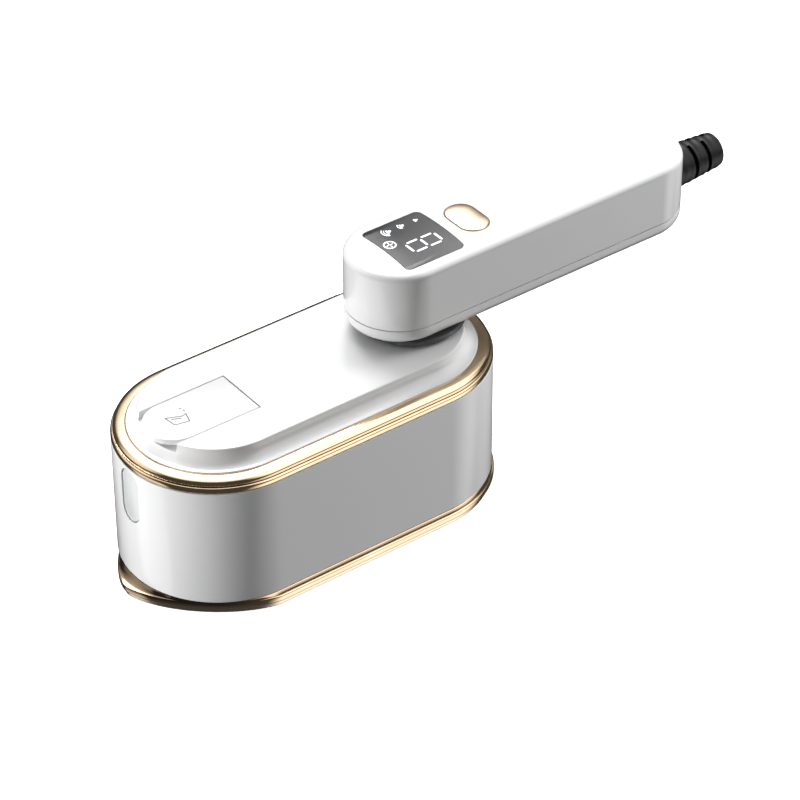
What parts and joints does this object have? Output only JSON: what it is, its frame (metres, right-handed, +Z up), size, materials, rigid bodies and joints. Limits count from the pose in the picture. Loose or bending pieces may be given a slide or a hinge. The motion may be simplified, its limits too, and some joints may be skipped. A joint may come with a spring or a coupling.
{
  "type": "garment steamer",
  "caption": "Flat-soled travel garment steamer with a handle that swivels to fold over the head, a filler flap, a level window and a display with a power button.",
  "frame": {"origin": "centre of the soleplate's flat lower face", "axes": "+Z up out of the sole, +X from the head towards the opened handle and its cord outlet, +Y across the head"},
  "size_m": [0.2511, 0.0716, 0.094],
  "materials": {
    "white_shell": "high gloss injection-moulded white plastic",
    "gold_trim": "champagne gold vacuum-metallised trim, mirror bright",
    "sole_metal": "polished aluminium with a warm pale gold ceramic coat",
    "cast_metal": "as-cast die-cast aluminium, satin",
    "steel": "zinc-plated or stainless steel",
    "copper": "enamelled copper winding",
    "dark_plastic": "dark grey satin plastic",
    "display_glass": "smoked glossy display window",
    "black_plastic": "black moulded plastic",
    "black_rubber": "black flexible PVC strain relief, satin",
    "wire_sleeve": "black silicone-sleeved wires",
    "silicone": "translucent white silicone rubber",
    "clear_plastic": "clear polycarbonate",
    "circuit_board": "green solder-masked glass-fibre board",
    "engineering_plastic": "natural acetal or nylon"
  },
  "bodies": {
    "head": {"side_shell": "white_shell", "top_cover": "white_shell", "sole_skirt": "gold_trim", "trim_band": "gold_trim", "trim_ring": "gold_trim", "soleplate": "sole_metal", "steam_chamber": "cast_metal", "heater_element": "steel", "chamber_screw_1": "steel", "chamber_screw_2": "steel", "chamber_screw_3": "steel", "chamber_screw_4": "steel", "steam_inlet_nozzle": "steel", "heat_shield": "steel", "cover_screw_1": "steel", "cover_screw_2": "steel", "flap_hinge_pin": "steel", "pump_yoke": "steel", "pump_spring": "steel", "friction_washer": "steel", "pump_coil": "copper", "thermostat": "black_plastic", "head_harness": "wire_sleeve", "chamber_gasket": "silicone", "tank_seal": "silicone", "filler_seal": "silicone", "inlet_hose": "silicone", "outlet_hose": "silicone", "level_window": "clear_plastic", "water_tank": "clear_plastic", "thermal_fuse": "engineering_plastic", "tank_lid": "engineering_plastic", "pump_tube": "engineering_plastic", "valve_seat": "engineering_plastic", "pump_cap": "engineering_plastic", "pivot_bush": "engineering_plastic"},
    "handle": {"neck_collar": "dark_plastic", "pivot_shaft": "steel", "retaining_clip": "steel", "handle_lower_cover": "white_shell", "handle_upper_shell": "white_shell", "handle_screw_1": "steel", "handle_screw_2": "steel", "handle_screw_3": "steel", "display_window": "display_glass", "display_module": "black_plastic", "main_board": "circuit_board", "tact_switch": "black_plastic", "button_spring": "steel", "handle_harness": "wire_sleeve", "cord_boot": "black_rubber", "cord_clamp": "black_plastic", "clamp_screw_1": "steel", "clamp_screw_2": "steel"},
    "button": {"power_button": "gold_trim", "switch_plunger": "engineering_plastic"},
    "flap": {"filler_flap": "white_shell", "flap_plug": "silicone"},
    "plunger": {"pump_plunger": "steel"},
    "check_valve": {"valve_ball": "steel"}
  },
  "joints": [
    {"name": "handle_swivel", "type": "hinge", "parent": "head", "child": "handle", "pos_m": [0.0442, 0, 0.0689], "axis": [0, 0, 1], "range_deg": [0, 180]},
    {"name": "button_press", "type": "slide", "parent": "handle", "child": "button", "axis": [0, 0, -1], "range_m": [0, 0.0008], "stiffness_N_per_m": 1500, "springref_m": -0.0006, "deforming": ["button_spring"]},
    {"name": "flap_hinge", "type": "hinge", "parent": "head", "child": "flap", "pos_m": [-0.0268, 0, 0.0607], "axis": [0, -1, 0], "range_deg": [-90, 0]},
    {"name": "pump_stroke", "type": "slide", "parent": "head", "child": "plunger", "axis": [0, 1, 0], "range_m": [0, 0.002], "stiffness_N_per_m": 400, "springref_m": -0.001, "deforming": ["pump_spring"]},
    {"name": "valve_lift", "type": "slide", "parent": "head", "child": "check_valve", "axis": [0, 1, 0], "range_m": [0, 0.001], "stiffness_N_per_m": 40, "springref_m": -0.001}
  ]
}
